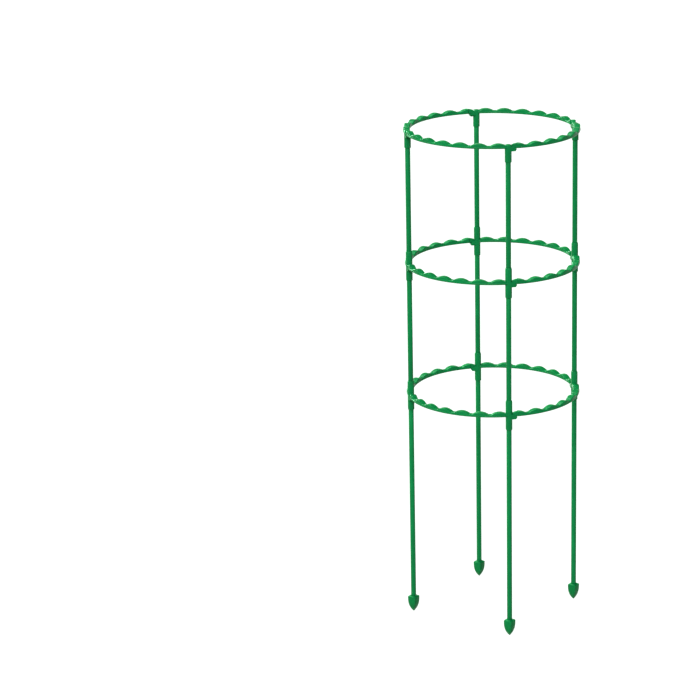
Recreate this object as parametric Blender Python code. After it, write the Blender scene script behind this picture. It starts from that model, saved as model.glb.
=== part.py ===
"""Plant support frame: three round tiers of clip-together ring arcs, carried on four columns of push-fit
poles that end in ground spikes. Metres, +Z up, origin on the ground at the centre of the frame."""

import math

import bmesh
import bpy

MM = 0.001

# The frame as a whole
COLUMN_CIRCLE_RADIUS = 84.0 * MM
LOWER_RING_HEIGHT = 231.0 * MM
TIER_SPACING = 134.5 * MM
TIERS = ("lower", "middle", "upper")
POLES = {"lower": "leg_pole", "middle": "middle_pole", "upper": "upper_pole"}
COLUMNS = ("front", "right", "back", "left")
FRONT_COLUMN_ANGLE = math.radians(-90.0)
COLUMN_STEP = math.radians(360.0) / len(COLUMNS)
FIT_GAP = 0.3 * MM

# The ring band and the lobes that stand along its top
BAND_HEIGHT = 2.7 * MM
BAND_HALF_WIDTH = 3.3 * MM
BAND_WAIST_HEIGHT = 1.1 * MM
BAND_SHOULDER_HEIGHT = 2.1 * MM
BAND_SHOULDER_HALF_WIDTH = 3.0 * MM
BAND_TOP_CHAMFER = 0.9 * MM
UNDERSIDE_HALF_WIDTH = 2.2 * MM
ROOT_HALF_WIDTH = 3.0 * MM
ROOT_LENGTH = 5.0 * MM
BAND_STEPS = 22
LOBES_PER_ARC = 7
LOBE_PITCH = COLUMN_STEP / LOBES_PER_ARC
LOBE_HALF_BASE = math.radians(5.2)
FIRST_LOBE_FROM_SLEEVE = LOBE_PITCH / 2
CREST_HEIGHT = 4.85 * MM
LOBE_HALF_WIDTH = 3.25 * MM
LOBE_FOOT_HALF_WIDTH = 2.9 * MM
LOBE_CHAMFER = 0.75 * MM
LOBE_FULLNESS = 0.85
LOBE_OVERRUN = 1.05
LOBE_STEPS = 6

# The eight-sided sleeve moulded on each arc
SLEEVE_SIDES = 8
SLEEVE_ACROSS_FLATS = 6.4 * MM
SLEEVE_BELOW_BAND = 13.8 * MM
SLEEVE_ABOVE_BAND = 16.6 * MM
SLEEVE_TOP_CHAMFER = (0.45 * MM, 1.6 * MM)
SLEEVE_BOTTOM_CHAMFER = (0.3 * MM, 0.7 * MM)
SOCKET_RADIUS = 2.4 * MM
SOCKET_DEPTH = 13.7 * MM
SOCKET_SIDES = 12
CAP_SHOULDER_HEIGHT = 2.4 * MM
CAP_TOP_HEIGHT = 4.0 * MM
CAP_FLAT_RADIUS = 1.3 * MM

# The saddle beside the sleeve, and the tail of the next arc that clips into it
SADDLE_LENGTH = 8.0 * MM
SADDLE_SLANT = 1.4 * MM
SADDLE_FLOOR_THICKNESS = 2.4 * MM
SADDLE_FLOOR_HALF_WIDTH = 2.9 * MM
CHEEK_OUTER_HALF_WIDTH = 3.1 * MM
CHEEK_HEIGHT_AT_SLEEVE = 2.4 * MM
CHEEK_ROOT_DEPTH = 1.2 * MM
CHEEK_SETBACK = 0.25 * MM
TAIL_HALF_WIDTH = 1.8 * MM
TAIL_SHOULDER_LENGTH = 0.9 * MM
PEG_RADIUS = 0.9 * MM
PEG_SIDES = 8
PEG_FROM_SLEEVE_AXIS = 5.4 * MM
PEG_ROOT_HEIGHT = 1.0 * MM

# The poles
POLE_RADIUS = 2.6 * MM
POLE_SIDES = 12
SPIGOT_RADIUS = SOCKET_RADIUS - FIT_GAP
SPIGOT_CHAMFER = 0.5 * MM

# The ground spikes
SPIKE_TOP_HEIGHT = 17.2 * MM
SPIKE_SHOULDER_HEIGHT = 16.2 * MM
SPIKE_HALF_DIAGONAL = 5.95 * MM
SPIKE_TIP_HALF_DIAGONAL = 0.5 * MM
SPIKE_FACE_BULGE = 0.77
SPIKE_STEPS = 7
SPIKE_CURVE_POWER = 3
SPIKE_COLLAR_RADIUS = 3.15 * MM
SPIKE_SOCKET_DEPTH = 9.0 * MM

CUTTER_OVERRUN = 1.0 * MM
SAME_POINT = 0.001 * MM


def plastic(name, colour, roughness):
    """A green moulded plastic."""
    material = bpy.data.materials.new(name)
    material.use_nodes = True
    shader = material.node_tree.nodes["Principled BSDF"]
    shader.inputs["Base Color"].default_value = (*colour, 1.0)
    shader.inputs["Roughness"].default_value = roughness
    shader.inputs["Metallic"].default_value = 0.0
    material.diffuse_color = (*colour, 1.0)
    return material


def mesh_from(bm, name):
    """A closed mesh with its faces pointing out."""
    bmesh.ops.recalc_face_normals(bm, faces=bm.faces)
    mesh = bpy.data.meshes.new(name)
    bm.to_mesh(mesh)
    bm.free()
    return mesh


def turned(name, profile, sides, first_angle=0.0):
    """Spins (radius, height) points about Z; the profile starts and ends on the axis."""
    bm = bmesh.new()
    across, along = math.cos(first_angle), math.sin(first_angle)
    points = [bm.verts.new((radius * across, radius * along, height)) for radius, height in profile]
    edges = [bm.edges.new(pair) for pair in zip(points, points[1:])]
    full_turn = math.radians(360.0)
    bmesh.ops.spin(bm, geom=points + edges, axis=(0, 0, 1), cent=(0, 0, 0), angle=full_turn, steps=sides)
    bmesh.ops.remove_doubles(bm, verts=bm.verts, dist=SAME_POINT)
    return mesh_from(bm, name)


def lofted(name, sections):
    """Skins closed loops that all have the same number of points, and caps both ends."""
    bm = bmesh.new()
    loops = [[bm.verts.new(point) for point in section] for section in sections]
    count = len(loops[0])
    for this, following in zip(loops, loops[1:]):
        for i in range(count):
            after = (i + 1) % count
            bm.faces.new((this[i], this[after], following[after], following[i]))
    bm.faces.new(loops[0])
    bm.faces.new(loops[-1])
    return mesh_from(bm, name)


def on_ring(angle, outward, height):
    """A point at an angle round the ring, a distance outward of the column circle."""
    radius = COLUMN_CIRCLE_RADIUS + outward
    return (radius * math.cos(angle), radius * math.sin(angle), height)


def around(distance):
    """The angle that a distance along the column circle takes up."""
    return distance / COLUMN_CIRCLE_RADIUS


def curved_block(name, outline, inner, outer):
    """A block that follows the ring: an outline of (distance from the sleeve's axis, height) points."""
    sections = []
    for outward in (inner, outer):
        sections.append([on_ring(around(distance), outward, height) for distance, height in outline])
    return lofted(name, sections)


def moved(mesh, x, y, z):
    """The mesh with its points shifted."""
    for vertex in mesh.vertices:
        vertex.co.x += x
        vertex.co.y += y
        vertex.co.z += z
    return mesh


def combined(name, base, joins=(), cuts=()):
    """One solid: the base joined with some meshes, then cut by others."""
    holder = bpy.data.objects.new(name, base)
    bpy.context.collection.objects.link(holder)
    tools = []
    for operation, meshes in (("UNION", joins), ("DIFFERENCE", cuts)):
        for mesh in meshes:
            tool = bpy.data.objects.new(mesh.name, mesh)
            bpy.context.collection.objects.link(tool)
            tools.append(tool)
            boolean = holder.modifiers.new(mesh.name, "BOOLEAN")
            boolean.operation = operation
            boolean.solver = "EXACT"
            boolean.object = tool
    shaped = holder.evaluated_get(bpy.context.evaluated_depsgraph_get())
    result = bpy.data.meshes.new_from_object(shaped)
    result.name = name
    for used in [holder, *tools]:
        bpy.data.objects.remove(used)
    return result


def between(low, high, share):
    """A value a share of the way from low to high."""
    return low + (high - low) * share


def narrowed(half_width, angle):
    """A half width along the arc: drawn in at the root, inside the sleeve, and at the tail, in its saddle."""
    past_root = -angle * COLUMN_CIRCLE_RADIUS / ROOT_LENGTH
    half = between(min(ROOT_HALF_WIDTH, half_width), half_width, min(past_root, 1.0))
    past_saddle = (angle + COLUMN_STEP) * COLUMN_CIRCLE_RADIUS - SADDLE_LENGTH - FIT_GAP
    share = min(max(past_saddle / TAIL_SHOULDER_LENGTH, 0.0), 1.0)
    return between(min(TAIL_HALF_WIDTH, half), half, share)


def mirrored(half_section, angle):
    """A closed loop across the ring from points that run from the bottom out, up and in."""
    right = [on_ring(angle, outward, up) for outward, up in half_section]
    left = [on_ring(angle, -outward, up) for outward, up in reversed(half_section)]
    return right + left


def band_section(angle):
    """The plain band cut across: a flat underside, sides widest low down, and a flat top."""
    underside, waist = narrowed(UNDERSIDE_HALF_WIDTH, angle), narrowed(BAND_HALF_WIDTH, angle)
    shoulder = narrowed(BAND_SHOULDER_HALF_WIDTH, angle)
    half_section = [(underside, 0.0), (waist, BAND_WAIST_HEIGHT)]
    half_section += [(shoulder, BAND_SHOULDER_HEIGHT), (shoulder - BAND_TOP_CHAMFER, BAND_HEIGHT)]
    return mirrored(half_section, angle)


def ring_band():
    """A quarter of the ring, from the tail beside the last sleeve round to the axis of its own sleeve."""
    tail_end = -COLUMN_STEP + around(SLEEVE_ACROSS_FLATS / 2 + FIT_GAP)
    shoulder = -COLUMN_STEP + around(SADDLE_LENGTH + FIT_GAP)
    full_width = shoulder + around(TAIL_SHOULDER_LENGTH)
    angles = [tail_end, shoulder]
    angles += [full_width * (1 - step / BAND_STEPS) for step in range(BAND_STEPS + 1)]
    return lofted("band", [band_section(angle) for angle in angles])


def lobe_section(crest_angle, share):
    """A lobe cut across at a share of its half length from its crest, from inside the band to its top."""
    slope = math.cos(math.pi / 2 * share)
    reach = math.copysign(abs(slope) ** LOBE_FULLNESS, slope)
    top = between(BAND_HEIGHT, CREST_HEIGHT, reach)
    angle = crest_angle + share * LOBE_HALF_BASE
    half = narrowed(between(LOBE_FOOT_HALF_WIDTH, LOBE_HALF_WIDTH, reach), angle)
    root = (half - FIT_GAP / 2, BAND_WAIST_HEIGHT)
    return mirrored([root, (half, top - LOBE_CHAMFER), (half - LOBE_CHAMFER, top)], angle)


def lobe(number):
    """One lobe, a low hump on the band; it is sunk into the band so that the two join."""
    crest = -FIRST_LOBE_FROM_SLEEVE - number * LOBE_PITCH
    tail_end = -COLUMN_STEP + around(SLEEVE_ACROSS_FLATS / 2 + FIT_GAP)
    sections = []
    for step in range(LOBE_STEPS + 1):
        share = LOBE_OVERRUN * (2 * step / LOBE_STEPS - 1)
        if tail_end < crest + share * LOBE_HALF_BASE < 0:
            sections.append(lobe_section(crest, share))
    return lofted(f"lobe_{number}", sections)


def slanted_end(depth):
    """Where the saddle's slanted end lies, at a depth below the top of its floor."""
    return SADDLE_LENGTH - SADDLE_SLANT * depth / SADDLE_FLOOR_THICKNESS


def saddle_floor():
    """The short arm under the next arc's tail, with a slanted end."""
    top = -FIT_GAP
    bottom = top - SADDLE_FLOOR_THICKNESS
    outline = [(0.0, bottom), (slanted_end(SADDLE_FLOOR_THICKNESS), bottom)]
    outline += [(slanted_end(0.0), top), (0.0, top)]
    return curved_block("saddle_floor", outline, -SADDLE_FLOOR_HALF_WIDTH, SADDLE_FLOOR_HALF_WIDTH)


def saddle_cheek(side):
    """One of the two sloping walls that hold the tail sideways; side is 1 outside the ring and -1 inside."""
    root = -FIT_GAP - CHEEK_ROOT_DEPTH
    outline = [(0.0, root), (slanted_end(CHEEK_ROOT_DEPTH) - CHEEK_SETBACK, root)]
    outline.append((slanted_end(0.0) - CHEEK_SETBACK, -FIT_GAP))
    outline += [(SLEEVE_ACROSS_FLATS / 2, CHEEK_HEIGHT_AT_SLEEVE), (0.0, CHEEK_HEIGHT_AT_SLEEVE)]
    near = side * (TAIL_HALF_WIDTH + FIT_GAP)
    far = side * CHEEK_OUTER_HALF_WIDTH
    return curved_block(f"saddle_cheek_{side}", outline, min(near, far), max(near, far))


def peg_mesh(name, radius, bottom, top, column_angle):
    """A small upright pin, standing at the place where a tail clips into a saddle."""
    profile = [(0.0, bottom), (radius, bottom), (radius, top), (0.0, top)]
    x, y, _ = on_ring(column_angle + around(PEG_FROM_SLEEVE_AXIS), 0.0, 0.0)
    return moved(turned(name, profile, PEG_SIDES), x, y, 0.0)


def clip_peg():
    """The peg under the tail."""
    tip = -FIT_GAP - SADDLE_FLOOR_THICKNESS
    return peg_mesh("clip_peg", PEG_RADIUS, tip, PEG_ROOT_HEIGHT, -COLUMN_STEP)


def clip_hole():
    """The cutter for the hole that takes the peg."""
    radius = (PEG_RADIUS + FIT_GAP) / math.cos(math.pi / PEG_SIDES)
    bottom = -FIT_GAP - SADDLE_FLOOR_THICKNESS - CUTTER_OVERRUN
    return peg_mesh("clip_hole", radius, bottom, CUTTER_OVERRUN, 0.0)


def sleeve_outside(capped):
    """The outside of a sleeve: open at both ends, or with a low dome that closes the top."""
    corner = 1 / math.cos(math.pi / SLEEVE_SIDES)
    radius = SLEEVE_ACROSS_FLATS / 2 * corner
    inset, rise = SLEEVE_BOTTOM_CHAMFER
    bottom = -SLEEVE_BELOW_BAND
    profile = [(0.0, bottom), (radius - inset * corner, bottom), (radius, bottom + rise)]
    if capped:
        profile += [(radius, CAP_SHOULDER_HEIGHT), (CAP_FLAT_RADIUS, CAP_TOP_HEIGHT), (0.0, CAP_TOP_HEIGHT)]
    else:
        inset, drop = SLEEVE_TOP_CHAMFER
        top = SLEEVE_ABOVE_BAND
        profile += [(radius, top - drop), (radius - inset * corner, top), (0.0, top)]
    sleeve = turned("sleeve", profile, SLEEVE_SIDES, math.pi / SLEEVE_SIDES)
    return moved(sleeve, COLUMN_CIRCLE_RADIUS, 0.0, 0.0)


def socket_cutter(name, bottom, top):
    """The cutter for a round socket; its flats keep the socket's full radius."""
    radius = SOCKET_RADIUS / math.cos(math.pi / SOCKET_SIDES)
    profile = [(0.0, bottom), (radius, bottom), (radius, top), (0.0, top)]
    return turned(name, profile, SOCKET_SIDES)


def ring_arc(name, capped):
    """One moulding: a quarter band, the sleeve at its end, the saddle beyond and the peg under its tail."""
    low_end = -SLEEVE_BELOW_BAND
    cuts = [clip_hole()]
    lower = socket_cutter("lower_socket", low_end - CUTTER_OVERRUN, low_end + SOCKET_DEPTH)
    cuts.append(moved(lower, COLUMN_CIRCLE_RADIUS, 0.0, 0.0))
    if not capped:
        high_end = SLEEVE_ABOVE_BAND
        upper = socket_cutter("upper_socket", high_end - SOCKET_DEPTH, high_end + CUTTER_OVERRUN)
        cuts.append(moved(upper, COLUMN_CIRCLE_RADIUS, 0.0, 0.0))
    joins = [lobe(number) for number in range(LOBES_PER_ARC)]
    joins += [sleeve_outside(capped), saddle_floor(), saddle_cheek(1), saddle_cheek(-1), clip_peg()]
    return combined(name, ring_band(), joins, cuts)


def pole(name, length, lower_spigot, upper_spigot):
    """A round pole whose turned-down ends push into sockets; the origin is at the lower shoulder."""
    low, high = -lower_spigot, length + upper_spigot
    tip = SPIGOT_RADIUS - SPIGOT_CHAMFER
    profile = [(0.0, low), (tip, low), (SPIGOT_RADIUS, low + SPIGOT_CHAMFER), (SPIGOT_RADIUS, 0.0)]
    profile += [(POLE_RADIUS, 0.0), (POLE_RADIUS, length), (SPIGOT_RADIUS, length)]
    profile += [(SPIGOT_RADIUS, high - SPIGOT_CHAMFER), (tip, high), (0.0, high)]
    return turned(name, profile, POLE_SIDES)


def spike_section(height, half_diagonal):
    """A square with bulged sides, its corners pointing out from and round the frame's centre."""
    points = []
    corners = 4
    for i in range(2 * corners):
        reach = half_diagonal * (SPIKE_FACE_BULGE if i % 2 else 1.0)
        angle = math.pi * i / corners
        points.append((reach * math.cos(angle), reach * math.sin(angle), height))
    return points


def ground_spike(name):
    """A four-sided arrow head with a curved taper, a sloping shoulder and a socket for the leg."""
    sections = []
    for step in range(SPIKE_STEPS + 1):
        share = step / SPIKE_STEPS
        reach = 1 - (1 - share) ** SPIKE_CURVE_POWER
        half = SPIKE_TIP_HALF_DIAGONAL + (SPIKE_HALF_DIAGONAL - SPIKE_TIP_HALF_DIAGONAL) * reach
        sections.append(spike_section(SPIKE_SHOULDER_HEIGHT * share, half))
    sections.append(spike_section(SPIKE_TOP_HEIGHT, SPIKE_COLLAR_RADIUS / SPIKE_FACE_BULGE))
    socket_floor = SPIKE_TOP_HEIGHT - SPIKE_SOCKET_DEPTH
    socket = socket_cutter("leg_socket", socket_floor, SPIKE_TOP_HEIGHT + CUTTER_OVERRUN)
    return combined(name, lofted("spike_body", sections), cuts=[socket])


def place(name, mesh, parent, angle, outward, height):
    """One named piece, turned about Z and set at a place in its tier's frame."""
    piece = bpy.data.objects.new(name, mesh)
    bpy.context.collection.objects.link(piece)
    piece.parent = parent
    piece.location = (outward * math.cos(angle), outward * math.sin(angle), height)
    piece.rotation_euler = (0.0, 0.0, angle)
    return piece


def tier_frame(tier, height):
    """The empty that carries a tier, on the axis along which the tier lifts off."""
    empty = bpy.data.objects.new(f"{tier}_tier_lift", None)
    empty.location = (0.0, 0.0, height)
    bpy.context.collection.objects.link(empty)
    return empty


def finish(mesh, material, sharp_degrees):
    """Gives a mesh its material, smooth round surfaces and crisp edges."""
    mesh.materials.clear()
    mesh.materials.append(material)
    mesh.shade_smooth()
    mesh.set_sharp_from_angle(angle=math.radians(sharp_degrees))
    return mesh


def build():
    """Makes every piece of the frame."""
    for old in list(bpy.data.objects):
        bpy.data.objects.remove(old)

    ring_green = plastic("ring_green", (0.012, 0.26, 0.07), 0.38)
    pole_green = plastic("pole_green", (0.010, 0.23, 0.062), 0.42)
    spike_green = plastic("spike_green", (0.008, 0.20, 0.052), 0.45)

    sharp = 35.0
    socketed_arc = finish(ring_arc("socketed_arc", capped=False), ring_green, sharp)
    capped_arc = finish(ring_arc("capped_arc", capped=True), ring_green, sharp)
    spike = finish(ground_spike("spike"), spike_green, sharp)

    sleeve_to_sleeve = TIER_SPACING - SLEEVE_ABOVE_BAND - SLEEVE_BELOW_BAND - 2 * FIT_GAP
    leg_foot = SPIKE_TOP_HEIGHT + FIT_GAP
    leg_length = LOWER_RING_HEIGHT - SLEEVE_BELOW_BAND - FIT_GAP - leg_foot
    leg = finish(pole("leg", leg_length, SPIKE_SOCKET_DEPTH, SOCKET_DEPTH), pole_green, sharp)
    tier_pole = finish(pole("tier_pole", sleeve_to_sleeve, SOCKET_DEPTH, SOCKET_DEPTH), pole_green, sharp)

    for level, tier in enumerate(TIERS):
        ring_height = LOWER_RING_HEIGHT + level * TIER_SPACING
        frame = tier_frame(tier, ring_height)
        arc = capped_arc if tier == TIERS[-1] else socketed_arc
        length = leg_length if level == 0 else sleeve_to_sleeve
        shoulder = -SLEEVE_BELOW_BAND - FIT_GAP - length
        for number, column in enumerate(COLUMNS):
            angle = FRONT_COLUMN_ANGLE + number * COLUMN_STEP
            place(f"{tier}_ring_arc_{column}", arc, frame, angle, 0.0, 0.0)
            rod = leg if level == 0 else tier_pole
            place(f"{POLES[tier]}_{column}", rod, frame, angle, COLUMN_CIRCLE_RADIUS, shoulder)
            if level == 0:
                place(f"ground_spike_{column}", spike, frame, angle, COLUMN_CIRCLE_RADIUS, -ring_height)


build()
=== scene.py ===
"""The looks of the plant support frame: fine moulded rings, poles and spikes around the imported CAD
model, their plastics, a pale floor, soft studio light and the camera."""

import math

import bmesh
import bpy
from mathutils import Matrix, Vector


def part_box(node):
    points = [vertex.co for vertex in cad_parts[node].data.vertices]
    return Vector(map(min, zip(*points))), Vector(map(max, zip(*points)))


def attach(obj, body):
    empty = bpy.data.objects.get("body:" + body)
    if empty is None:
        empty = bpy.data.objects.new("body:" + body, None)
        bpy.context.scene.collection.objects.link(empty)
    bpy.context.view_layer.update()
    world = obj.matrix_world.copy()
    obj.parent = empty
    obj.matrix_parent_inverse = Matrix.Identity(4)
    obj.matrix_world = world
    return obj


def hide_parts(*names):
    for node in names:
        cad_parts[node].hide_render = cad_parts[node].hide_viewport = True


MM = 0.001
QUARTER_TURN = math.radians(90.0)

# The frame as a whole, as in the CAD model
TIERS = ("lower", "middle", "upper")
POLES = {"lower": "leg_pole", "middle": "middle_pole", "upper": "upper_pole"}
COLUMNS = ("front", "right", "back", "left")
FRONT_COLUMN_ANGLE = math.radians(-90.0)
COLUMN_STEP = math.radians(360.0) / len(COLUMNS)
FIT_GAP = 0.3 * MM

# The ring band and the lobes that stand along its top
BAND_HEIGHT = 2.7 * MM
BAND_HALF_WIDTH = 3.3 * MM
BAND_WAIST_HEIGHT = 1.1 * MM
UNDERSIDE_HALF_WIDTH = 2.2 * MM
BAND_SQUARENESS = 0.75
BAND_STEPS = 60
UNDERSIDE_CORNER_STEPS = 5
BAND_TOP_STEPS = 9
LOBES_PER_ARC = 7
LOBE_PITCH = COLUMN_STEP / LOBES_PER_ARC
LOBE_HALF_BASE = math.radians(5.2)
FIRST_LOBE_FROM_SLEEVE = LOBE_PITCH / 2
CREST_HEIGHT = 4.85 * MM
LOBE_HALF_WIDTH = 3.3 * MM
LOBE_FOOT_HALF_WIDTH = 2.9 * MM
LOBE_SHOULDER_HEIGHT = 1.5 * MM
LOBE_SQUARENESS = 0.38
LOBE_FULLNESS = 0.85
LOBE_OVERRUN = 1.05
LOBE_STEPS = 22
LOBE_TOP_STEPS = 9
ROOT_HALF_WIDTH = 3.0 * MM
ROOT_LENGTH = 5.0 * MM
ROOT_FILLET = 0.5 * MM
ROOT_STEPS = 9
PARTING_RIDGE = 0.05 * MM
PARTING_RIDGE_HALF_HEIGHT = 0.08 * MM

# The eight-sided sleeve moulded on each arc
SLEEVE_SIDES = 8
SLEEVE_ACROSS_FLATS = 6.4 * MM
SLEEVE_CORNER_RADIUS = 0.55 * MM
SLEEVE_CORNER_STEPS = 3
SLEEVE_BELOW_BAND = 13.8 * MM
SLEEVE_ABOVE_BAND = 16.6 * MM
SLEEVE_TOP_CHAMFER = (0.45 * MM, 1.6 * MM)
SLEEVE_BOTTOM_CHAMFER = (0.3 * MM, 0.7 * MM)
SLEEVE_EDGE_SOFTENING = 0.12 * MM
SOCKET_RADIUS = 2.4 * MM
SOCKET_DEPTH = 13.7 * MM
SOCKET_SIDES = 40
SOCKET_LEAD_IN = 0.2 * MM
CAP_SHOULDER_HEIGHT = 2.4 * MM
CAP_TOP_HEIGHT = 4.0 * MM
CAP_FLAT_RADIUS = 1.2 * MM
CAP_STEPS = 7

# The saddle beside the sleeve, and the tail of the next arc that clips into it
SADDLE_LENGTH = 8.0 * MM
SADDLE_SLANT = 1.4 * MM
SADDLE_FLOOR_THICKNESS = 2.4 * MM
SADDLE_FLOOR_HALF_WIDTH = 2.9 * MM
CHEEK_OUTER_HALF_WIDTH = 3.1 * MM
CHEEK_HEIGHT_AT_SLEEVE = 2.4 * MM
CHEEK_ROOT_DEPTH = 1.2 * MM
CHEEK_SETBACK = 0.25 * MM
SADDLE_EDGE_ROUNDING = 0.18 * MM
ROUNDING_SEGMENTS = 3
ROUNDING_PROFILE = 0.5
TAIL_HALF_WIDTH = 1.8 * MM
TAIL_SHOULDER_LENGTH = 1.2 * MM
TAIL_STEPS = 10
PEG_RADIUS = 0.9 * MM
PEG_SIDES = 24
PEG_FROM_SLEEVE_AXIS = 5.4 * MM
PEG_ROOT_HEIGHT = 1.0 * MM

# The marks that moulding leaves
EJECTOR_MARK_RADIUS = 0.75 * MM
EJECTOR_MARK_DEPTH = 0.07 * MM
EJECTOR_MARK_SIDES = 24
VALLEYS_PER_EJECTOR_MARK = 2
GATE_MARK_RADIUS = 0.5 * MM
GATE_MARK_HEIGHT = 0.18 * MM

# The poles
POLE_RADIUS = 2.6 * MM
POLE_SIDES = 48
POLE_EDGE_ROUNDING = 0.2 * MM
SPIGOT_RADIUS = SOCKET_RADIUS - FIT_GAP
SPIGOT_CHAMFER = 0.5 * MM

# The ground spikes
SPIKE_TOP_HEIGHT = 17.2 * MM
SPIKE_SHOULDER_HEIGHT = 16.2 * MM
SPIKE_HALF_DIAGONAL = 5.95 * MM
SPIKE_TIP_HALF_DIAGONAL = 0.5 * MM
SPIKE_SQUARENESS = 1.14
SPIKE_SIDES = 48
SPIKE_STEPS = 26
SPIKE_CURVE_POWER = 3
SPIKE_SHOULDER_ROUNDING = 0.45 * MM
SPIKE_SHOULDER_STEPS = 5
SPIKE_SHOULDER_TURN = math.radians(80.0)
SPIKE_COLLAR_RADIUS = 3.15 * MM
SPIKE_SOCKET_DEPTH = 9.0 * MM

# The camera, fitted to the rings, columns and spike tips of the photograph
IMAGE_SIDE = 700
CAMERA_DISTANCE = 2.8094
CAMERA_FOCAL_LENGTH_PIXELS = 2791.7
CAMERA_ELEVATION = math.radians(16.59)
CAMERA_AZIMUTH = math.radians(-10.67)
CAMERA_ROLL = math.radians(-0.28)
CAMERA_AIM_HEIGHT = 0.2745
CAMERA_AXIS_PIXEL_X = 492.83
SENSOR_WIDTH_MM = 36.0
CAMERA_CLIP = (0.1, 100.0)

CUTTER_OVERRUN = 1.0 * MM
SAME_POINT = 0.0005 * MM
SHARP_ANGLE = math.radians(38.0)

# The plastics: what their surfaces show, from the largest marks to the smallest
RING_GREEN = (0.004, 0.222, 0.06)
POLE_GREEN = (0.005, 0.226, 0.063)
SPIKE_GREEN = (0.003, 0.2, 0.052)
RING_ROUGHNESS = 0.32
POLE_ROUGHNESS = 0.36
SPIKE_ROUGHNESS = 0.4
SPECULAR = 0.08
PIECE_SHIFT = 7.0
NOISE_RANGE = (0.3, 0.7)
NOISE_DETAIL = 2.0
SMOOTH_DETAIL = 1.0
CLOUD_SIZE = 16.0 * MM
CLOUD_TONE = 0.09
CLOUD_ROUGHNESS = 0.15
RIPPLE_SIZE = 5.0 * MM
RIPPLE_DEPTH = 0.07 * MM
STREAK_SIZE = 0.7 * MM
STREAK_LENGTH = 30.0
STREAK_DEPTH = 0.015 * MM
STREAK_TONE = 0.1
SCUFF_SIZE = 1.6 * MM
SCUFF_LENGTH = 4.0
SCUFF_RANGE = (0.55, 0.7)
SCUFF_DETAIL = 5.0
SCUFF_ROUGHNESS = 0.2
GRAIN_SIZE = 0.3 * MM
GRAIN_DEPTH = 0.01 * MM
GRAIN_TONE = 0.06
WEAR_REACH = 0.25 * MM
WEAR_SAMPLES = 4
EDGE_LIKENESS = (0.98, 0.8)
WEAR_PALENESS = 0.35
WEAR_ROUGHNESS = 0.12

# How strong the streaks, the scuffs and the wear of each plastic are
RING_MARKS = {"streaks": 0.6, "scuffs": 1.0, "wear": 1.0}
POLE_MARKS = {"streaks": 1.6, "scuffs": 0.6, "wear": 1.0}
SPIKE_MARKS = {"streaks": 1.0, "scuffs": 1.6, "wear": 1.5}

# The studio
SKY = 0.08
AMBIENT = 0.05
HORIZON_BAND = (0.12, 0.3)
FLOOR_HALF = 30.0
FLOOR_COLOUR = 0.2
FLOOR_LIFT = 0.92
WHITE_LIGHT = (1.0, 1.0, 1.0)
MINT_LIGHT = (0.5, 1.0, 0.7)

# Each lamp's name, azimuth, elevation and width in degrees, power and colour
LAMPS = (
    ("key", -19.0, 35.0, 40.0, 2.8, WHITE_LIGHT),
    ("side", -95.0, 10.0, 25.0, 1.1, MINT_LIGHT),
    ("rim", -160.0, 13.0, 20.0, 4.6, MINT_LIGHT),
    ("top", -160.0, 55.0, 28.0, 2.4, MINT_LIGHT),
)


def mesh_from(bm, name):
    """A closed mesh with its faces pointing out."""
    bmesh.ops.recalc_face_normals(bm, faces=bm.faces)
    mesh = bpy.data.meshes.new(name)
    bm.to_mesh(mesh)
    bm.free()
    return mesh


def turned(name, profile, sides, first_angle=0.0):
    """Spins (radius, height) points about Z; the profile starts and ends on the axis."""
    bm = bmesh.new()
    across, along = math.cos(first_angle), math.sin(first_angle)
    points = [bm.verts.new((radius * across, radius * along, height)) for radius, height in profile]
    edges = [bm.edges.new(pair) for pair in zip(points, points[1:])]
    full_turn = math.radians(360.0)
    bmesh.ops.spin(bm, geom=points + edges, axis=(0, 0, 1), cent=(0, 0, 0), angle=full_turn, steps=sides)
    bmesh.ops.remove_doubles(bm, verts=bm.verts, dist=SAME_POINT)
    return mesh_from(bm, name)


def lofted(name, sections, rounding=0.0):
    """Skins closed loops that all have the same number of points, and caps both ends."""
    bm = bmesh.new()
    loops = [[bm.verts.new(point) for point in section] for section in sections]
    count = len(loops[0])
    for this, following in zip(loops, loops[1:]):
        for i in range(count):
            after = (i + 1) % count
            bm.faces.new((this[i], this[after], following[after], following[i]))
    bm.faces.new(loops[0])
    bm.faces.new(loops[-1])
    if rounding:
        settings = {"offset": rounding, "segments": ROUNDING_SEGMENTS, "profile": ROUNDING_PROFILE}
        bmesh.ops.bevel(bm, geom=bm.edges, affect="EDGES", **settings)
    return mesh_from(bm, name)


def on_ring(angle, outward, height):
    """A point at an angle round the ring, a distance outward of the column circle."""
    radius = column_circle_radius + outward
    return (radius * math.cos(angle), radius * math.sin(angle), height)


def around(distance):
    """The angle that a distance along the column circle takes up."""
    return distance / column_circle_radius


def curved_block(name, outline, inner, outer):
    """A block that follows the ring: an outline of (distance from the sleeve's axis, height) points."""
    sections = []
    for outward in (inner, outer):
        sections.append([on_ring(around(distance), outward, height) for distance, height in outline])
    return lofted(name, sections, SADDLE_EDGE_ROUNDING)


def moved(mesh, x, y, z):
    """The mesh with its points shifted."""
    mesh.transform(Matrix.Translation((x, y, z)))
    return mesh


def combined(name, base, joins=(), cuts=()):
    """One solid: the base joined with some meshes, then cut by others."""
    holder = bpy.data.objects.new(name, base)
    bpy.context.collection.objects.link(holder)
    tools = []
    for operation, meshes in (("UNION", joins), ("DIFFERENCE", cuts)):
        for mesh in meshes:
            tool = bpy.data.objects.new(mesh.name, mesh)
            bpy.context.collection.objects.link(tool)
            tools.append(tool)
            boolean = holder.modifiers.new(mesh.name, "BOOLEAN")
            boolean.operation = operation
            boolean.solver = "EXACT"
            boolean.object = tool
    shaped = holder.evaluated_get(bpy.context.evaluated_depsgraph_get())
    result = bpy.data.meshes.new_from_object(shaped)
    result.name = name
    for used in [holder, *tools]:
        bpy.data.objects.remove(used)
    return result


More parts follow.
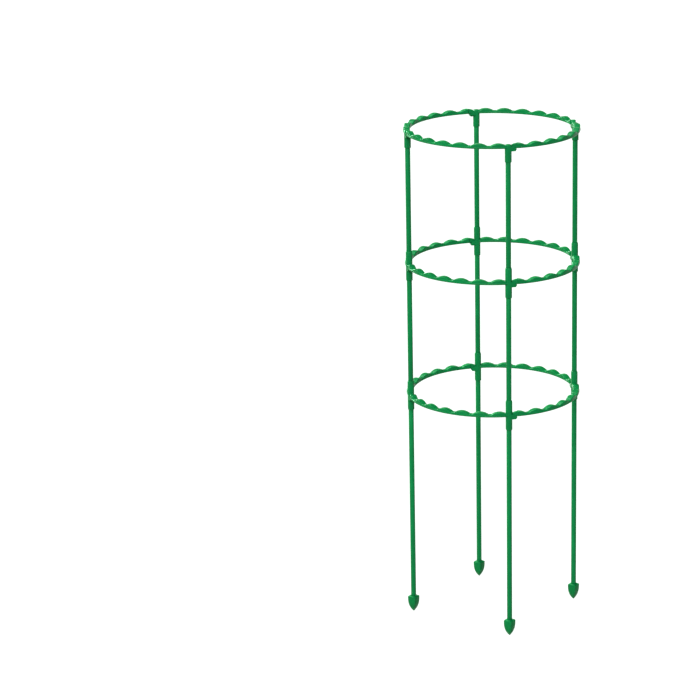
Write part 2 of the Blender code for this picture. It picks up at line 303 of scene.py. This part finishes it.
def between(low, high, share):
    """A value a share of the way from low to high."""
    return low + (high - low) * share


def eased(share):
    """A smooth step from 0 to 1."""
    share = min(max(share, 0.0), 1.0)
    return share * share * (3 - 2 * share)


def root_fillet(angle, outward):
    """How much thicker the band is, at a place, where it runs into its sleeve."""
    along, across = -angle * column_circle_radius, abs(outward)
    slanted = (along + across) * math.cos(2 * math.pi / SLEEVE_SIDES)
    clearance = max(along, slanted) - SLEEVE_ACROSS_FLATS / 2
    reach = 1 - abs(clearance) / ROOT_FILLET
    return ROOT_FILLET * (1 - math.sqrt(1 - reach * reach)) if reach > 0 else 0.0


def narrowed(half_width, angle):
    """A half width along the arc: drawn in at its root in the sleeve and at its tail in the saddle."""
    past_root = eased(-angle * column_circle_radius / ROOT_LENGTH)
    half = between(min(ROOT_HALF_WIDTH, half_width), half_width, past_root)
    past_saddle = (angle + COLUMN_STEP) * column_circle_radius - SADDLE_LENGTH - FIT_GAP
    return between(min(TAIL_HALF_WIDTH, half), half, eased(past_saddle / TAIL_SHOULDER_LENGTH))


def rounded_top(half_width, low, high, squareness, steps):
    """Points up a side and in to the middle, as (outward, height); squareness 1 is an ellipse."""
    points = []
    for step in range(steps + 1):
        turn = QUARTER_TURN * step / steps
        outward = half_width * max(math.cos(turn), 0.0) ** squareness
        points.append((outward, low + (high - low) * math.sin(turn) ** squareness))
    points[-1] = (0.0, high)
    return points


def mirrored(half_section, angle):
    """A closed loop across the ring, from points that run out, up and in; thicker beside the sleeve."""
    flared = []
    for outward, up in half_section:
        from_middle = min(2 * up / BAND_HEIGHT - 1, 1.0)
        flared.append((outward, up + from_middle * root_fillet(angle, outward)))
    right = [on_ring(angle, outward, up) for outward, up in flared]
    left = [on_ring(angle, -outward, up) for outward, up in reversed(flared[:-1])]
    return right + left


def band_section(angle):
    """The plain band cut across: soft lower corners, a parting ridge, round sides and a flat top."""
    half = narrowed(BAND_HALF_WIDTH, angle)
    under = min(UNDERSIDE_HALF_WIDTH, half - FIT_GAP / 2)
    ridge_foot = BAND_WAIST_HEIGHT - PARTING_RIDGE_HALF_HEIGHT
    half_section = []
    for step in range(UNDERSIDE_CORNER_STEPS + 1):
        turn = QUARTER_TURN * step / UNDERSIDE_CORNER_STEPS
        outward = between(under, half, math.sin(turn))
        half_section.append((outward, ridge_foot * (1 - math.cos(turn))))
    half_section.append((half + PARTING_RIDGE, BAND_WAIST_HEIGHT))
    ridge_top = BAND_WAIST_HEIGHT + PARTING_RIDGE_HALF_HEIGHT
    top = rounded_top(half, ridge_top, BAND_HEIGHT, BAND_SQUARENESS, BAND_TOP_STEPS)
    return mirrored(half_section + top, angle)


def shoulder_angles():
    """Closely spaced angles over the length where the tail widens to the full band."""
    start = -COLUMN_STEP + around(SADDLE_LENGTH + FIT_GAP)
    return [start + around(TAIL_SHOULDER_LENGTH) * step / TAIL_STEPS for step in range(TAIL_STEPS + 1)]


def ring_band():
    """A quarter of the ring, from the tail beside the last sleeve to the axis of its own sleeve."""
    sleeve_face = SLEEVE_ACROSS_FLATS / 2
    tail_end = -COLUMN_STEP + around(sleeve_face + FIT_GAP)
    angles = {0.0, *shoulder_angles()}
    root_start, root_end = sleeve_face / 2 - ROOT_FILLET, sleeve_face + ROOT_FILLET
    for step in range(ROOT_STEPS + 1):
        angles.add(-around(between(root_start, root_end, step / ROOT_STEPS)))
    for step in range(BAND_STEPS):
        angles.add(tail_end * (1 - step / BAND_STEPS))
    return lofted("band", [band_section(angle) for angle in sorted(angles)])


def lobe_section(crest_angle, angle):
    """The lobe with its crest at one angle, cut across at another, from inside the band to its top."""
    slope = math.cos(math.pi / 2 * (angle - crest_angle) / LOBE_HALF_BASE)
    reach = math.copysign(abs(slope) ** LOBE_FULLNESS, slope)
    top = between(BAND_HEIGHT, CREST_HEIGHT, reach)
    half = narrowed(between(LOBE_FOOT_HALF_WIDTH, LOBE_HALF_WIDTH, reach), angle)
    shoulder = max(top - LOBE_SHOULDER_HEIGHT, BAND_WAIST_HEIGHT + FIT_GAP / 2)
    points = rounded_top(half, shoulder, top, LOBE_SQUARENESS, LOBE_TOP_STEPS)
    return mirrored([(half - FIT_GAP / 2, BAND_WAIST_HEIGHT)] + points, angle)


def lobe(number):
    """One lobe, a low hump on the band; it is sunk into the band so that the two join."""
    crest = -FIRST_LOBE_FROM_SLEEVE - number * LOBE_PITCH
    reach = LOBE_OVERRUN * LOBE_HALF_BASE
    first = max(crest - reach, -COLUMN_STEP + around(SLEEVE_ACROSS_FLATS / 2 + FIT_GAP))
    last = min(crest + reach, 0.0)
    angles = {between(first, last, step / LOBE_STEPS) for step in range(LOBE_STEPS + 1)}
    angles.update(angle for angle in shoulder_angles() if first < angle < last)
    return lofted(f"lobe_{number}", [lobe_section(crest, angle) for angle in sorted(angles)])


def slanted_end(depth):
    """Where the saddle's slanted end lies, at a depth below the top of its floor."""
    return SADDLE_LENGTH - SADDLE_SLANT * depth / SADDLE_FLOOR_THICKNESS


def saddle_floor():
    """The short arm under the next arc's tail, with a slanted end."""
    top = -FIT_GAP
    bottom = top - SADDLE_FLOOR_THICKNESS
    outline = [(0.0, bottom), (slanted_end(SADDLE_FLOOR_THICKNESS), bottom)]
    outline += [(slanted_end(0.0), top), (0.0, top)]
    return curved_block("saddle_floor", outline, -SADDLE_FLOOR_HALF_WIDTH, SADDLE_FLOOR_HALF_WIDTH)


def saddle_cheek(side):
    """One of the two sloping walls that hold the tail; side is 1 outside the ring and -1 inside."""
    root = -FIT_GAP - CHEEK_ROOT_DEPTH
    outline = [(0.0, root), (slanted_end(CHEEK_ROOT_DEPTH) - CHEEK_SETBACK, root)]
    outline.append((slanted_end(0.0) - CHEEK_SETBACK, -FIT_GAP))
    outline += [(SLEEVE_ACROSS_FLATS / 2, CHEEK_HEIGHT_AT_SLEEVE), (0.0, CHEEK_HEIGHT_AT_SLEEVE)]
    near = side * (TAIL_HALF_WIDTH + FIT_GAP)
    far = side * CHEEK_OUTER_HALF_WIDTH
    return curved_block(f"saddle_cheek_{side}", outline, min(near, far), max(near, far))


def upright_pin(name, radius, bottom, top, angle, sides):
    """A small upright cylinder at an angle round the ring."""
    profile = [(0.0, bottom), (radius, bottom), (radius, top), (0.0, top)]
    x, y, _ = on_ring(angle, 0.0, 0.0)
    return moved(turned(name, profile, sides), x, y, 0.0)


def clip_peg():
    """The peg under the tail."""
    tip = -FIT_GAP - SADDLE_FLOOR_THICKNESS
    angle = -COLUMN_STEP + around(PEG_FROM_SLEEVE_AXIS)
    return upright_pin("clip_peg", PEG_RADIUS, tip, PEG_ROOT_HEIGHT, angle, PEG_SIDES)


def clip_hole():
    """The cutter for the hole that takes the peg."""
    bottom = -FIT_GAP - SADDLE_FLOOR_THICKNESS - CUTTER_OVERRUN
    radius, angle = PEG_RADIUS + FIT_GAP, around(PEG_FROM_SLEEVE_AXIS)
    return upright_pin("clip_hole", radius, bottom, CUTTER_OVERRUN, angle, PEG_SIDES)


def ejector_marks():
    """The cutters for the shallow marks that ejector pins leave on the underside, below the valleys."""
    marks = []
    for number in range(0, LOBES_PER_ARC - 1, VALLEYS_PER_EJECTOR_MARK):
        angle = -FIRST_LOBE_FROM_SLEEVE - (number + 0.5) * LOBE_PITCH
        name = f"ejector_mark_{number}"
        size_and_place = (-CUTTER_OVERRUN, EJECTOR_MARK_DEPTH, angle, EJECTOR_MARK_SIDES)
        marks.append(upright_pin(name, EJECTOR_MARK_RADIUS, *size_and_place))
    return marks


def gate_mark():
    """The low nub, on the sleeve's face towards the middle of the ring, where the plastic flowed in."""
    profile = [(0.0, -CUTTER_OVERRUN), (GATE_MARK_RADIUS, -CUTTER_OVERRUN)]
    profile += [(GATE_MARK_RADIUS, GATE_MARK_HEIGHT), (0.0, GATE_MARK_HEIGHT)]
    nub = turned("gate_mark", profile, PEG_SIDES)
    nub.transform(Matrix.Rotation(-QUARTER_TURN, 4, "Y"))
    inner_face = column_circle_radius - SLEEVE_ACROSS_FLATS / 2
    return moved(nub, inner_face, 0.0, -SLEEVE_BELOW_BAND / 2)


def sleeve_section(inset, height):
    """An octagon with round corners, drawn in by an inset."""
    flat = SLEEVE_ACROSS_FLATS / 2 - inset
    rounding = min(SLEEVE_CORNER_RADIUS, flat / 2)
    to_centre = (flat - rounding) / math.cos(math.pi / SLEEVE_SIDES)
    points = []
    for corner in range(SLEEVE_SIDES):
        middle = 2 * math.pi * (corner + 0.5) / SLEEVE_SIDES
        x, y = to_centre * math.cos(middle), to_centre * math.sin(middle)
        for step in range(SLEEVE_CORNER_STEPS + 1):
            turn = middle + (step / SLEEVE_CORNER_STEPS - 0.5) * 2 * math.pi / SLEEVE_SIDES
            points.append((x + rounding * math.cos(turn), y + rounding * math.sin(turn), height))
    return points


def sleeve_end(inset, length, edge, inward):
    """Sections of a chamfered end, from its face inward; inward is 1 at the bottom and -1 at the top."""
    soft = SLEEVE_EDGE_SOFTENING
    half, quarter = soft / 2, soft / 4
    steps = [(inset + soft, 0.0), (inset + quarter, quarter), (inset - half, soft)]
    steps += [(half, length - soft), (0.0, length + soft)]
    return [sleeve_section(draw_in, edge + inward * rise) for draw_in, rise in steps]


def sleeve_outside(capped):
    """The outside of a sleeve: open at both ends, or with a low dome that closes the top."""
    sections = sleeve_end(*SLEEVE_BOTTOM_CHAMFER, -SLEEVE_BELOW_BAND, 1)
    if capped:
        widest = SLEEVE_ACROSS_FLATS / 2
        for step in range(CAP_STEPS + 1):
            turn = QUARTER_TURN * step / CAP_STEPS
            draw_in = (widest - CAP_FLAT_RADIUS) * (1 - math.cos(turn))
            rise = (CAP_TOP_HEIGHT - CAP_SHOULDER_HEIGHT) * math.sin(turn)
            sections.append(sleeve_section(draw_in, CAP_SHOULDER_HEIGHT + rise))
    else:
        sections += reversed(sleeve_end(*SLEEVE_TOP_CHAMFER, SLEEVE_ABOVE_BAND, -1))
    return moved(lofted("sleeve", sections), column_circle_radius, 0.0, 0.0)


def socket_cutter(name, blind_end, mouth):
    """The cutter for a round socket with a small lead-in at its mouth."""
    out = 1 if mouth > blind_end else -1
    wide, beyond = SOCKET_RADIUS + SOCKET_LEAD_IN, mouth + out * CUTTER_OVERRUN
    profile = [(0.0, blind_end), (SOCKET_RADIUS, blind_end)]
    profile += [(SOCKET_RADIUS, mouth - out * SOCKET_LEAD_IN), (wide, mouth)]
    profile += [(wide, beyond), (0.0, beyond)]
    return turned(name, profile, SOCKET_SIDES)


def ring_arc(name, capped):
    """One moulding: a quarter band, its sleeve, the saddle beyond that and the peg under its tail."""
    low_end = -SLEEVE_BELOW_BAND
    lower = socket_cutter("lower_socket", low_end + SOCKET_DEPTH, low_end)
    cuts = [moved(lower, column_circle_radius, 0.0, 0.0), clip_hole(), *ejector_marks()]
    if not capped:
        high_end = SLEEVE_ABOVE_BAND
        upper = socket_cutter("upper_socket", high_end - SOCKET_DEPTH, high_end)
        cuts.append(moved(upper, column_circle_radius, 0.0, 0.0))
    joins = [lobe(number) for number in range(LOBES_PER_ARC)]
    joins += [sleeve_outside(capped), saddle_floor(), saddle_cheek(1), saddle_cheek(-1)]
    joins += [clip_peg(), gate_mark()]
    return combined(name, ring_band(), joins, cuts)


def rounded_corner(radius, height, rounding, up):
    """Profile points of a rounded outer edge; up is +1 for an upper edge and -1 for a lower one."""
    inset = rounding * (1 - math.cos(QUARTER_TURN / 2))
    points = [(radius, height - up * rounding), (radius - inset, height - up * inset)]
    return points + [(radius - rounding, height)]


def pole(name, length, lower_spigot, upper_spigot):
    """A round pole whose turned-down ends push into sockets; the origin is at the lower shoulder."""
    low, high = -lower_spigot, length + upper_spigot
    tip = SPIGOT_RADIUS - SPIGOT_CHAMFER
    profile = [(0.0, low), (tip, low), (SPIGOT_RADIUS, low + SPIGOT_CHAMFER), (SPIGOT_RADIUS, 0.0)]
    profile += reversed(rounded_corner(POLE_RADIUS, 0.0, POLE_EDGE_ROUNDING, -1))
    profile += rounded_corner(POLE_RADIUS, length, POLE_EDGE_ROUNDING, 1)
    profile += [(SPIGOT_RADIUS, length), (SPIGOT_RADIUS, high - SPIGOT_CHAMFER)]
    profile += [(tip, high), (0.0, high)]
    return turned(name, profile, POLE_SIDES)


def spike_section(height, half_diagonal):
    """A square with bulged sides, its corners pointing out from and round the frame's centre."""
    points = []
    for i in range(SPIKE_SIDES):
        angle = 2 * math.pi * i / SPIKE_SIDES
        across, along = abs(math.cos(angle)), abs(math.sin(angle))
        reach = (across ** SPIKE_SQUARENESS + along ** SPIKE_SQUARENESS) ** (-1 / SPIKE_SQUARENESS)
        radius = half_diagonal * reach
        points.append((radius * math.cos(angle), radius * math.sin(angle), height))
    return points


def ground_spike(name):
    """A four-sided arrow head with a curved taper, a sloping shoulder and a socket for the leg."""
    sections = []
    straight_top = SPIKE_SHOULDER_HEIGHT - SPIKE_SHOULDER_ROUNDING
    for step in range(SPIKE_STEPS + 1):
        height = straight_top * step / SPIKE_STEPS
        reach = 1 - (1 - height / SPIKE_SHOULDER_HEIGHT) ** SPIKE_CURVE_POWER
        half = between(SPIKE_TIP_HALF_DIAGONAL, SPIKE_HALF_DIAGONAL, reach)
        sections.append(spike_section(height, half))
    for step in range(1, SPIKE_SHOULDER_STEPS + 1):
        turn = SPIKE_SHOULDER_TURN * step / SPIKE_SHOULDER_STEPS
        height = straight_top + SPIKE_SHOULDER_ROUNDING * math.sin(turn)
        half = SPIKE_HALF_DIAGONAL - SPIKE_SHOULDER_ROUNDING * (1 - math.cos(turn))
        sections.append(spike_section(height, half))
    sections.append(spike_section(SPIKE_TOP_HEIGHT, SPIKE_COLLAR_RADIUS))
    socket = socket_cutter("leg_socket", SPIKE_TOP_HEIGHT - SPIKE_SOCKET_DEPTH, SPIKE_TOP_HEIGHT)
    return combined(name, lofted("spike_body", sections), cuts=[socket])


def finished(mesh, material):
    """Gives a mesh its material, smooth round surfaces and crisp edges."""
    mesh.materials.clear()
    mesh.materials.append(material)
    mesh.shade_smooth()
    mesh.set_sharp_from_angle(angle=SHARP_ANGLE)
    return mesh


def put(node, mesh, body, location, angle):
    """One fine piece in the place of its CAD node, riding on that node's body."""
    piece = bpy.data.objects.new(f"fine_{node}", mesh)
    bpy.context.collection.objects.link(piece)
    piece.matrix_world = Matrix.Translation(location) @ Matrix.Rotation(angle, 4, "Z")
    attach(piece, body)
    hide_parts(node)


def add_node(tree, kind, inputs=(), **settings):
    """A shader node with its settings made, and each (socket, value or output) input set or linked."""
    node = tree.nodes.new(kind)
    for setting, value in settings.items():
        setattr(node, setting, value)
    for socket, value in inputs:
        if isinstance(value, bpy.types.NodeSocket):
            tree.links.new(value, node.inputs[socket])
        else:
            node.inputs[socket].default_value = value
    return node


def math_node(tree, operation, first, second):
    """The output of one sum."""
    return add_node(tree, "ShaderNodeMath", [(0, first), (1, second)], operation=operation).outputs[0]


def vector_node(tree, operation, first, second):
    """The node of one sum of vectors."""
    return add_node(tree, "ShaderNodeVectorMath", [(0, first), (1, second)], operation=operation)


def from_to(tree, value, start, stop, low, high):
    """Takes a value from the range start to stop into the range low to high."""
    limits = [("From Min", start), ("From Max", stop), ("To Min", low), ("To Max", high)]
    return add_node(tree, "ShaderNodeMapRange", [("Value", value), *limits]).outputs[0]


def piece_space(tree):
    """A piece's own coordinates, shifted so that no two pieces show the same marks."""
    place = add_node(tree, "ShaderNodeTexCoord").outputs["Object"]
    chance = add_node(tree, "ShaderNodeObjectInfo").outputs["Random"]
    shift = math_node(tree, "MULTIPLY", chance, PIECE_SHIFT)
    return vector_node(tree, "ADD", place, shift).outputs[0]


def ring_space(tree):
    """Coordinates that follow a ring: outward, up and along the arc, each in metres."""
    place = add_node(tree, "ShaderNodeTexCoord").outputs["Object"]
    parts = add_node(tree, "ShaderNodeSeparateXYZ", [(0, place)])
    turn = math_node(tree, "ARCTAN2", parts.outputs["Y"], parts.outputs["X"])
    flat = vector_node(tree, "MULTIPLY", place, (1.0, 1.0, 0.0)).outputs[0]
    outward = add_node(tree, "ShaderNodeVectorMath", [(0, flat)], operation="LENGTH").outputs["Value"]
    along = math_node(tree, "MULTIPLY", turn, column_circle_radius)
    chance = add_node(tree, "ShaderNodeObjectInfo").outputs["Random"]
    shifted = math_node(tree, "ADD", along, math_node(tree, "MULTIPLY", chance, PIECE_SHIFT))
    axes = [("X", outward), ("Y", parts.outputs["Z"]), ("Z", shifted)]
    return add_node(tree, "ShaderNodeCombineXYZ", axes).outputs[0]


def patches(tree, place, size, length=1.0, detail=NOISE_DETAIL):
    """Random patches of a size, drawn out along Z by a length; their value is about 0.3 to 0.7."""
    squeeze = (1.0, 1.0, 1.0 / length)
    drawn = vector_node(tree, "MULTIPLY", place, squeeze).outputs[0]
    inputs = [("Vector", drawn), ("Scale", 1 / size), ("Detail", detail)]
    return add_node(tree, "ShaderNodeTexNoise", inputs).outputs[0]


def worn_edges(tree):
    """1 on sharp edges and 0 elsewhere."""
    rounded = add_node(tree, "ShaderNodeBevel", [("Radius", WEAR_REACH)], samples=WEAR_SAMPLES)
    true = add_node(tree, "ShaderNodeNewGeometry").outputs["Normal"]
    likeness = vector_node(tree, "DOT_PRODUCT", rounded.outputs[0], true)
    return from_to(tree, likeness.outputs["Value"], *EDGE_LIKENESS, 0.0, 1.0)


def swing(tree, noise, middle, depth):
    """A value that a noise swings to each side of a middle, by a share of it."""
    return from_to(tree, noise, *NOISE_RANGE, middle * (1 - depth), middle * (1 + depth))


def relief(tree, marks):
    """Stacks bumps of (height, depth in metres)."""
    normal = None
    for height, depth in marks:
        inputs = [("Height", height), ("Distance", depth), ("Strength", 1.0)]
        if normal:
            inputs.append(("Normal", normal))
        normal = add_node(tree, "ShaderNodeBump", inputs).outputs[0]
    return normal


def plastic(name, colour, roughness, space, streaks, scuffs, wear):
    """A green plastic with faint clouds, grain, ripples, lengthwise streaks, scuffs and worn edges."""
    material = bpy.data.materials.new(name)
    material.use_nodes = True
    tree = material.node_tree
    shader = tree.nodes["Principled BSDF"]
    place = space(tree)
    clouds = patches(tree, place, CLOUD_SIZE)
    ripples = patches(tree, place, RIPPLE_SIZE, detail=SMOOTH_DETAIL)
    streak = patches(tree, place, STREAK_SIZE, STREAK_LENGTH)
    scratched = patches(tree, place, SCUFF_SIZE, SCUFF_LENGTH, SCUFF_DETAIL)
    scuff = from_to(tree, scratched, *SCUFF_RANGE, 0.0, scuffs)
    grain = patches(tree, place, GRAIN_SIZE, detail=SMOOTH_DETAIL)
    uneven = from_to(tree, scuff, 0.0, 1.0, wear / 2, wear)
    edges = math_node(tree, "MULTIPLY", worn_edges(tree), uneven)

    tone = swing(tree, clouds, 1.0, CLOUD_TONE)
    for noise, depth in ((streak, STREAK_TONE * streaks), (grain, GRAIN_TONE)):
        tone = math_node(tree, "MULTIPLY", tone, swing(tree, noise, 1.0, depth))
    tone = math_node(tree, "MULTIPLY", tone, from_to(tree, edges, 0.0, 1.0, 1.0, 1 + WEAR_PALENESS))
    painted = add_node(tree, "ShaderNodeVectorMath", [(0, colour), ("Scale", tone)], operation="SCALE")
    tree.links.new(painted.outputs[0], shader.inputs["Base Color"])

    rough = swing(tree, clouds, roughness, CLOUD_ROUGHNESS)
    rough = math_node(tree, "ADD", rough, math_node(tree, "MULTIPLY", scuff, SCUFF_ROUGHNESS))
    rough = math_node(tree, "ADD", rough, math_node(tree, "MULTIPLY", edges, WEAR_ROUGHNESS))
    tree.links.new(rough, shader.inputs["Roughness"])

    marks = ((ripples, RIPPLE_DEPTH), (streak, STREAK_DEPTH * streaks), (grain, GRAIN_DEPTH))
    tree.links.new(relief(tree, marks), shader.inputs["Normal"])
    shader.inputs["Specular IOR Level"].default_value = SPECULAR
    return material


def build_frame():
    """Puts a fine piece in the place of every CAD node."""
    ring_green = plastic("ring_green", RING_GREEN, RING_ROUGHNESS, ring_space, **RING_MARKS)
    pole_green = plastic("pole_green", POLE_GREEN, POLE_ROUGHNESS, piece_space, **POLE_MARKS)
    spike_green = plastic("spike_green", SPIKE_GREEN, SPIKE_ROUGHNESS, piece_space, **SPIKE_MARKS)
    arcs = {False: finished(ring_arc("socketed_arc", False), ring_green)}
    arcs[True] = finished(ring_arc("capped_arc", True), ring_green)
    spike = finished(ground_spike("ground_spike"), spike_green)
    rods = {}
    for tier in TIERS:
        low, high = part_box(f"{POLES[tier]}_front")
        lower_spigot = SPIKE_SOCKET_DEPTH if tier == "lower" else SOCKET_DEPTH
        length = high.z - low.z - lower_spigot - SOCKET_DEPTH
        rods[tier] = finished(pole(f"{tier}_rod", length, lower_spigot, SOCKET_DEPTH), pole_green)
        for number, column in enumerate(COLUMNS):
            angle = FRONT_COLUMN_ANGLE + number * COLUMN_STEP
            at = Vector(on_ring(angle, 0.0, 0.0))
            body = f"{tier}_tier"
            sleeve_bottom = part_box(f"{tier}_ring_arc_{column}")[0].z
            underside = Vector((0.0, 0.0, sleeve_bottom + SLEEVE_BELOW_BAND))
            arc = arcs[tier == TIERS[-1]]
            put(f"{tier}_ring_arc_{column}", arc, body, underside, angle)
            shoulder = at + Vector((0.0, 0.0, low.z + lower_spigot))
            put(f"{POLES[tier]}_{column}", rods[tier], body, shoulder, angle)
            if tier == TIERS[0]:
                put(f"ground_spike_{column}", spike, body, at, angle)


def seen_directly(tree):
    """1 for what is seen, also in reflections and through clear things, and 0 for bounced light."""
    path = add_node(tree, "ShaderNodeLightPath")
    seen = path.outputs["Is Camera Ray"]
    for kind in ("Is Glossy Ray", "Is Transmission Ray"):
        seen = math_node(tree, "MAXIMUM", seen, path.outputs[kind])
    return seen


def surround():
    """A surround that is white at the horizon and dark grey overhead."""
    world = bpy.data.worlds.new("surround")
    world.use_nodes = True
    bpy.context.scene.world = world
    tree = world.node_tree
    tree.nodes.clear()
    direction = add_node(tree, "ShaderNodeTexCoord").outputs["Generated"]
    upward = add_node(tree, "ShaderNodeSeparateXYZ", [(0, direction)]).outputs["Z"]
    fade = from_to(tree, upward, *HORIZON_BAND, 1.0, SKY)
    choices = [("Factor", seen_directly(tree)), ("A", AMBIENT), ("B", fade)]
    strength = add_node(tree, "ShaderNodeMix", choices).outputs[0]
    white = (*WHITE_LIGHT, 1.0)
    light = add_node(tree, "ShaderNodeBackground", [("Color", white), ("Strength", strength)])
    add_node(tree, "ShaderNodeOutputWorld", [("Surface", light.outputs[0])])


def floor():
    """A pale floor."""
    half = FLOOR_HALF
    mesh = bpy.data.meshes.new("floor")
    corners = [(-half, -half, 0), (half, -half, 0), (half, half, 0), (-half, half, 0)]
    mesh.from_pydata(corners, [], [(0, 1, 2, 3)])
    piece = bpy.data.objects.new("floor", mesh)
    bpy.context.collection.objects.link(piece)
    paint = bpy.data.materials.new("floor_paint")
    paint.use_nodes = True
    tree = paint.node_tree
    tree.nodes.clear()
    lift = math_node(tree, "MULTIPLY", seen_directly(tree), FLOOR_LIFT)
    glow = add_node(tree, "ShaderNodeEmission", [("Strength", lift)])
    grey = (FLOOR_COLOUR, FLOOR_COLOUR, FLOOR_COLOUR, 1.0)
    matt = add_node(tree, "ShaderNodeBsdfDiffuse", [("Color", grey)])
    both = add_node(tree, "ShaderNodeAddShader", [(0, glow.outputs[0]), (1, matt.outputs[0])])
    add_node(tree, "ShaderNodeOutputMaterial", [("Surface", both.outputs[0])])
    mesh.materials.append(paint)


def lamp(name, azimuth, elevation, width, power, colour):
    """A large far softbox; azimuth 0 shines along +Y and elevation is its height above the horizon."""
    light = bpy.data.lights.new(name, "SUN")
    light.angle = math.radians(width)
    light.energy = power
    light.color = colour
    holder = bpy.data.objects.new(name, light)
    bpy.context.collection.objects.link(holder)
    turn, rise = math.radians(azimuth), math.radians(elevation)
    back = Vector((math.sin(turn) * math.cos(rise), -math.cos(turn) * math.cos(rise), math.sin(rise)))
    holder.rotation_euler = back.to_track_quat("Z", "Y").to_euler()


def studio():
    """The floor, the surround and the lamps."""
    surround()
    floor()
    for settings in LAMPS:
        lamp(*settings)


def camera():
    """The photograph's camera."""
    data = bpy.data.cameras.new("photo_camera")
    data.sensor_width = SENSOR_WIDTH_MM
    data.lens = CAMERA_FOCAL_LENGTH_PIXELS / IMAGE_SIDE * SENSOR_WIDTH_MM
    data.shift_x = 0.5 - CAMERA_AXIS_PIXEL_X / IMAGE_SIDE
    data.clip_start, data.clip_end = CAMERA_CLIP
    holder = bpy.data.objects.new("photo_camera", data)
    bpy.context.collection.objects.link(holder)
    turn, rise = CAMERA_AZIMUTH, CAMERA_ELEVATION
    back = Vector((math.sin(turn) * math.cos(rise), -math.cos(turn) * math.cos(rise), math.sin(rise)))
    right = Vector((math.cos(turn), math.sin(turn), 0.0))
    level = Matrix((right, back.cross(right), back)).transposed().to_4x4()
    aim = Vector((0.0, 0.0, CAMERA_AIM_HEIGHT))
    roll = Matrix.Rotation(CAMERA_ROLL, 4, "Z")
    holder.matrix_world = Matrix.Translation(aim + back * CAMERA_DISTANCE) @ level @ roll
    bpy.context.scene.camera = holder


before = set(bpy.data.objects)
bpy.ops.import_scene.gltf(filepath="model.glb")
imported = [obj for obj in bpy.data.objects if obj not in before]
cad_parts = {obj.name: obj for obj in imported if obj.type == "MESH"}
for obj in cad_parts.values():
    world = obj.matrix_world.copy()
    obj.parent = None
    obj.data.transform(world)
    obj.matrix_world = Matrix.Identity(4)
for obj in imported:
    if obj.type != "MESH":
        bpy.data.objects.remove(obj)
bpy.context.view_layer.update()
pole_low, pole_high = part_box("leg_pole_right")
column_circle_radius = (pole_low.x + pole_high.x) / 2

camera()
studio()
build_frame()
bpy.context.scene.view_settings.view_transform = "Standard"
